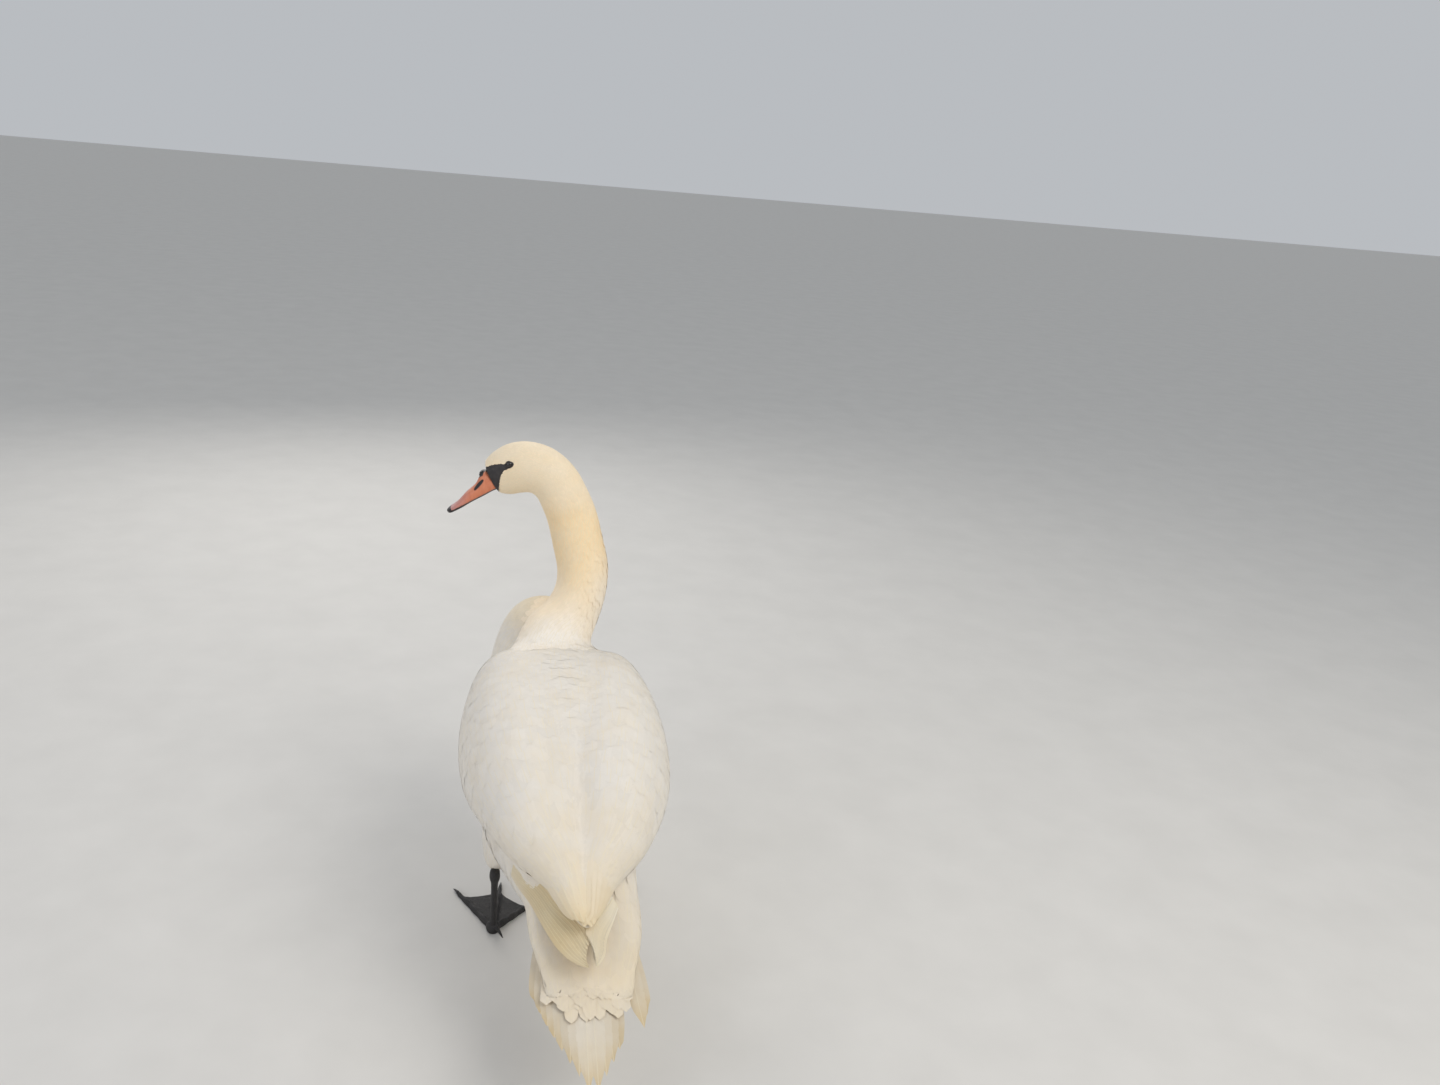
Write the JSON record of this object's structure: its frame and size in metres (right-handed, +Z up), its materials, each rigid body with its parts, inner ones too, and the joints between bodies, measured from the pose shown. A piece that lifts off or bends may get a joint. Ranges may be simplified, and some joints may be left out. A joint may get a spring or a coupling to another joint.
{
  "type": "mute swan",
  "caption": "Life-size still model of a standing adult mute swan, folded wings, raised curved neck, head turned to its left, orange bill.",
  "frame": {"origin": "on the floor, under the middle of the bird's bounding box", "axes": "+Z up, -Y the way the body faces, +Y towards the tail, +X towards the bird's left side"},
  "size_m": [0.3438, 0.818, 0.6955],
  "materials": {
    "eye": "wet gloss, near black",
    "bill_horn": "smooth horn, orange",
    "black_horn": "smooth horn, black",
    "cream_plumage": "short soft feathers, cream",
    "white_plumage": "soft contour feathers, warm white",
    "cream_quills": "flight feathers, cream",
    "white_quills": "tail feathers, warm white",
    "leg_skin": "scaly skin, near black"
  },
  "bodies": {
    "root": {"head": "cream_plumage", "neck_upper": "cream_plumage", "neck_middle": "cream_plumage", "neck_lower": "cream_plumage", "eye_left": "eye", "eye_right": "eye", "bill_upper": "bill_horn", "bill_lower": "black_horn", "bill_nail": "black_horn", "bill_knob": "black_horn", "neck_base": "white_plumage", "breast": "white_plumage", "trunk": "white_plumage", "rump": "white_plumage", "wing_left": "white_plumage", "wing_right": "white_plumage", "primaries_left": "cream_quills", "primaries_right": "cream_quills", "tail_left": "white_quills", "tail_right": "white_quills", "thigh_left": "white_plumage", "shank_left": "leg_skin", "foot_left": "leg_skin", "hind_toe_left": "leg_skin", "claw_left_inner": "black_horn", "claw_left_middle": "black_horn", "claw_left_outer": "black_horn", "thigh_right": "white_plumage", "shank_right": "leg_skin", "foot_right": "leg_skin", "hind_toe_right": "leg_skin", "claw_right_inner": "black_horn", "claw_right_middle": "black_horn", "claw_right_outer": "black_horn"}
  },
  "joints": []
}
